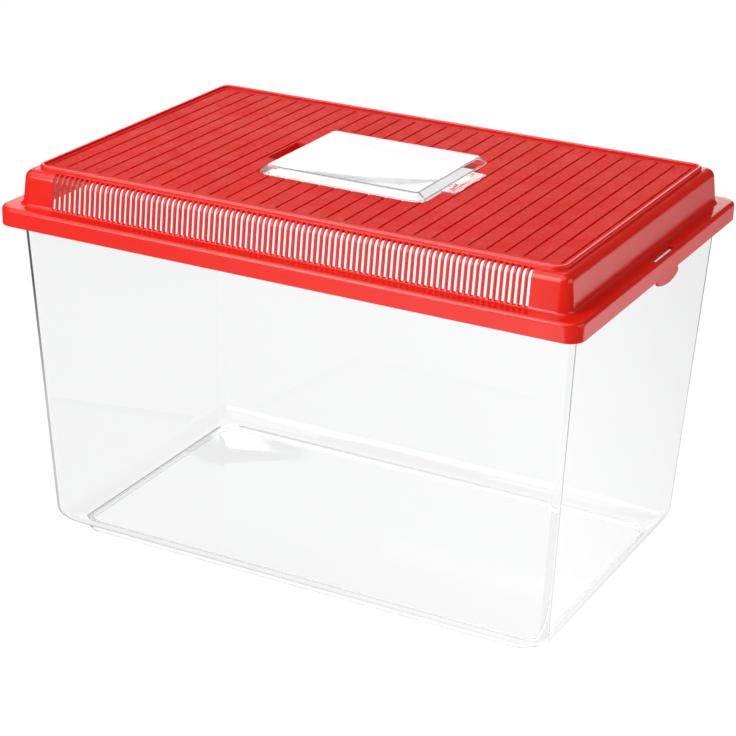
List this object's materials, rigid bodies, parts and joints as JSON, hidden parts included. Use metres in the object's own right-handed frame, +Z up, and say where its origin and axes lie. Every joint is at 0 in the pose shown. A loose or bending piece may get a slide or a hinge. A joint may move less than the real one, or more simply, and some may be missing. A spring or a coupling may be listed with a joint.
{
  "type": "plastic pet keeper",
  "caption": "Clear drafted plastic tub with a red vented lift-off lid and a clear hinged feeding hatch, for keeping and carrying small pets.",
  "frame": {"origin": "middle of the underside of the foot ring, on the surface that the tub stands on", "axes": "+X along the length towards the latch side of the hatch, +Y towards the back, +Z up"},
  "size_m": [0.4636, 0.3066, 0.303],
  "materials": {
    "clear_tub": "clear gloss, moulded polystyrene",
    "red_lid": "opaque satin gloss with a fine grain on the deck",
    "clear_hatch": "clear gloss, moulded polystyrene"
  },
  "bodies": {
    "tub": {"tub": "clear_tub"},
    "lid": {"lid": "red_lid"},
    "hatch": {"hatch": "clear_hatch"}
  },
  "joints": [
    {"name": "lid_lift", "type": "slide", "parent": "tub", "child": "lid", "axis": [0, 0, 1], "range_m": [0, 0.15]},
    {"name": "hatch_hinge", "type": "hinge", "parent": "lid", "child": "hatch", "pos_m": [-0.0592, 0, 0.2962], "axis": [0, -1, 0], "range_deg": [0, 110]}
  ]
}
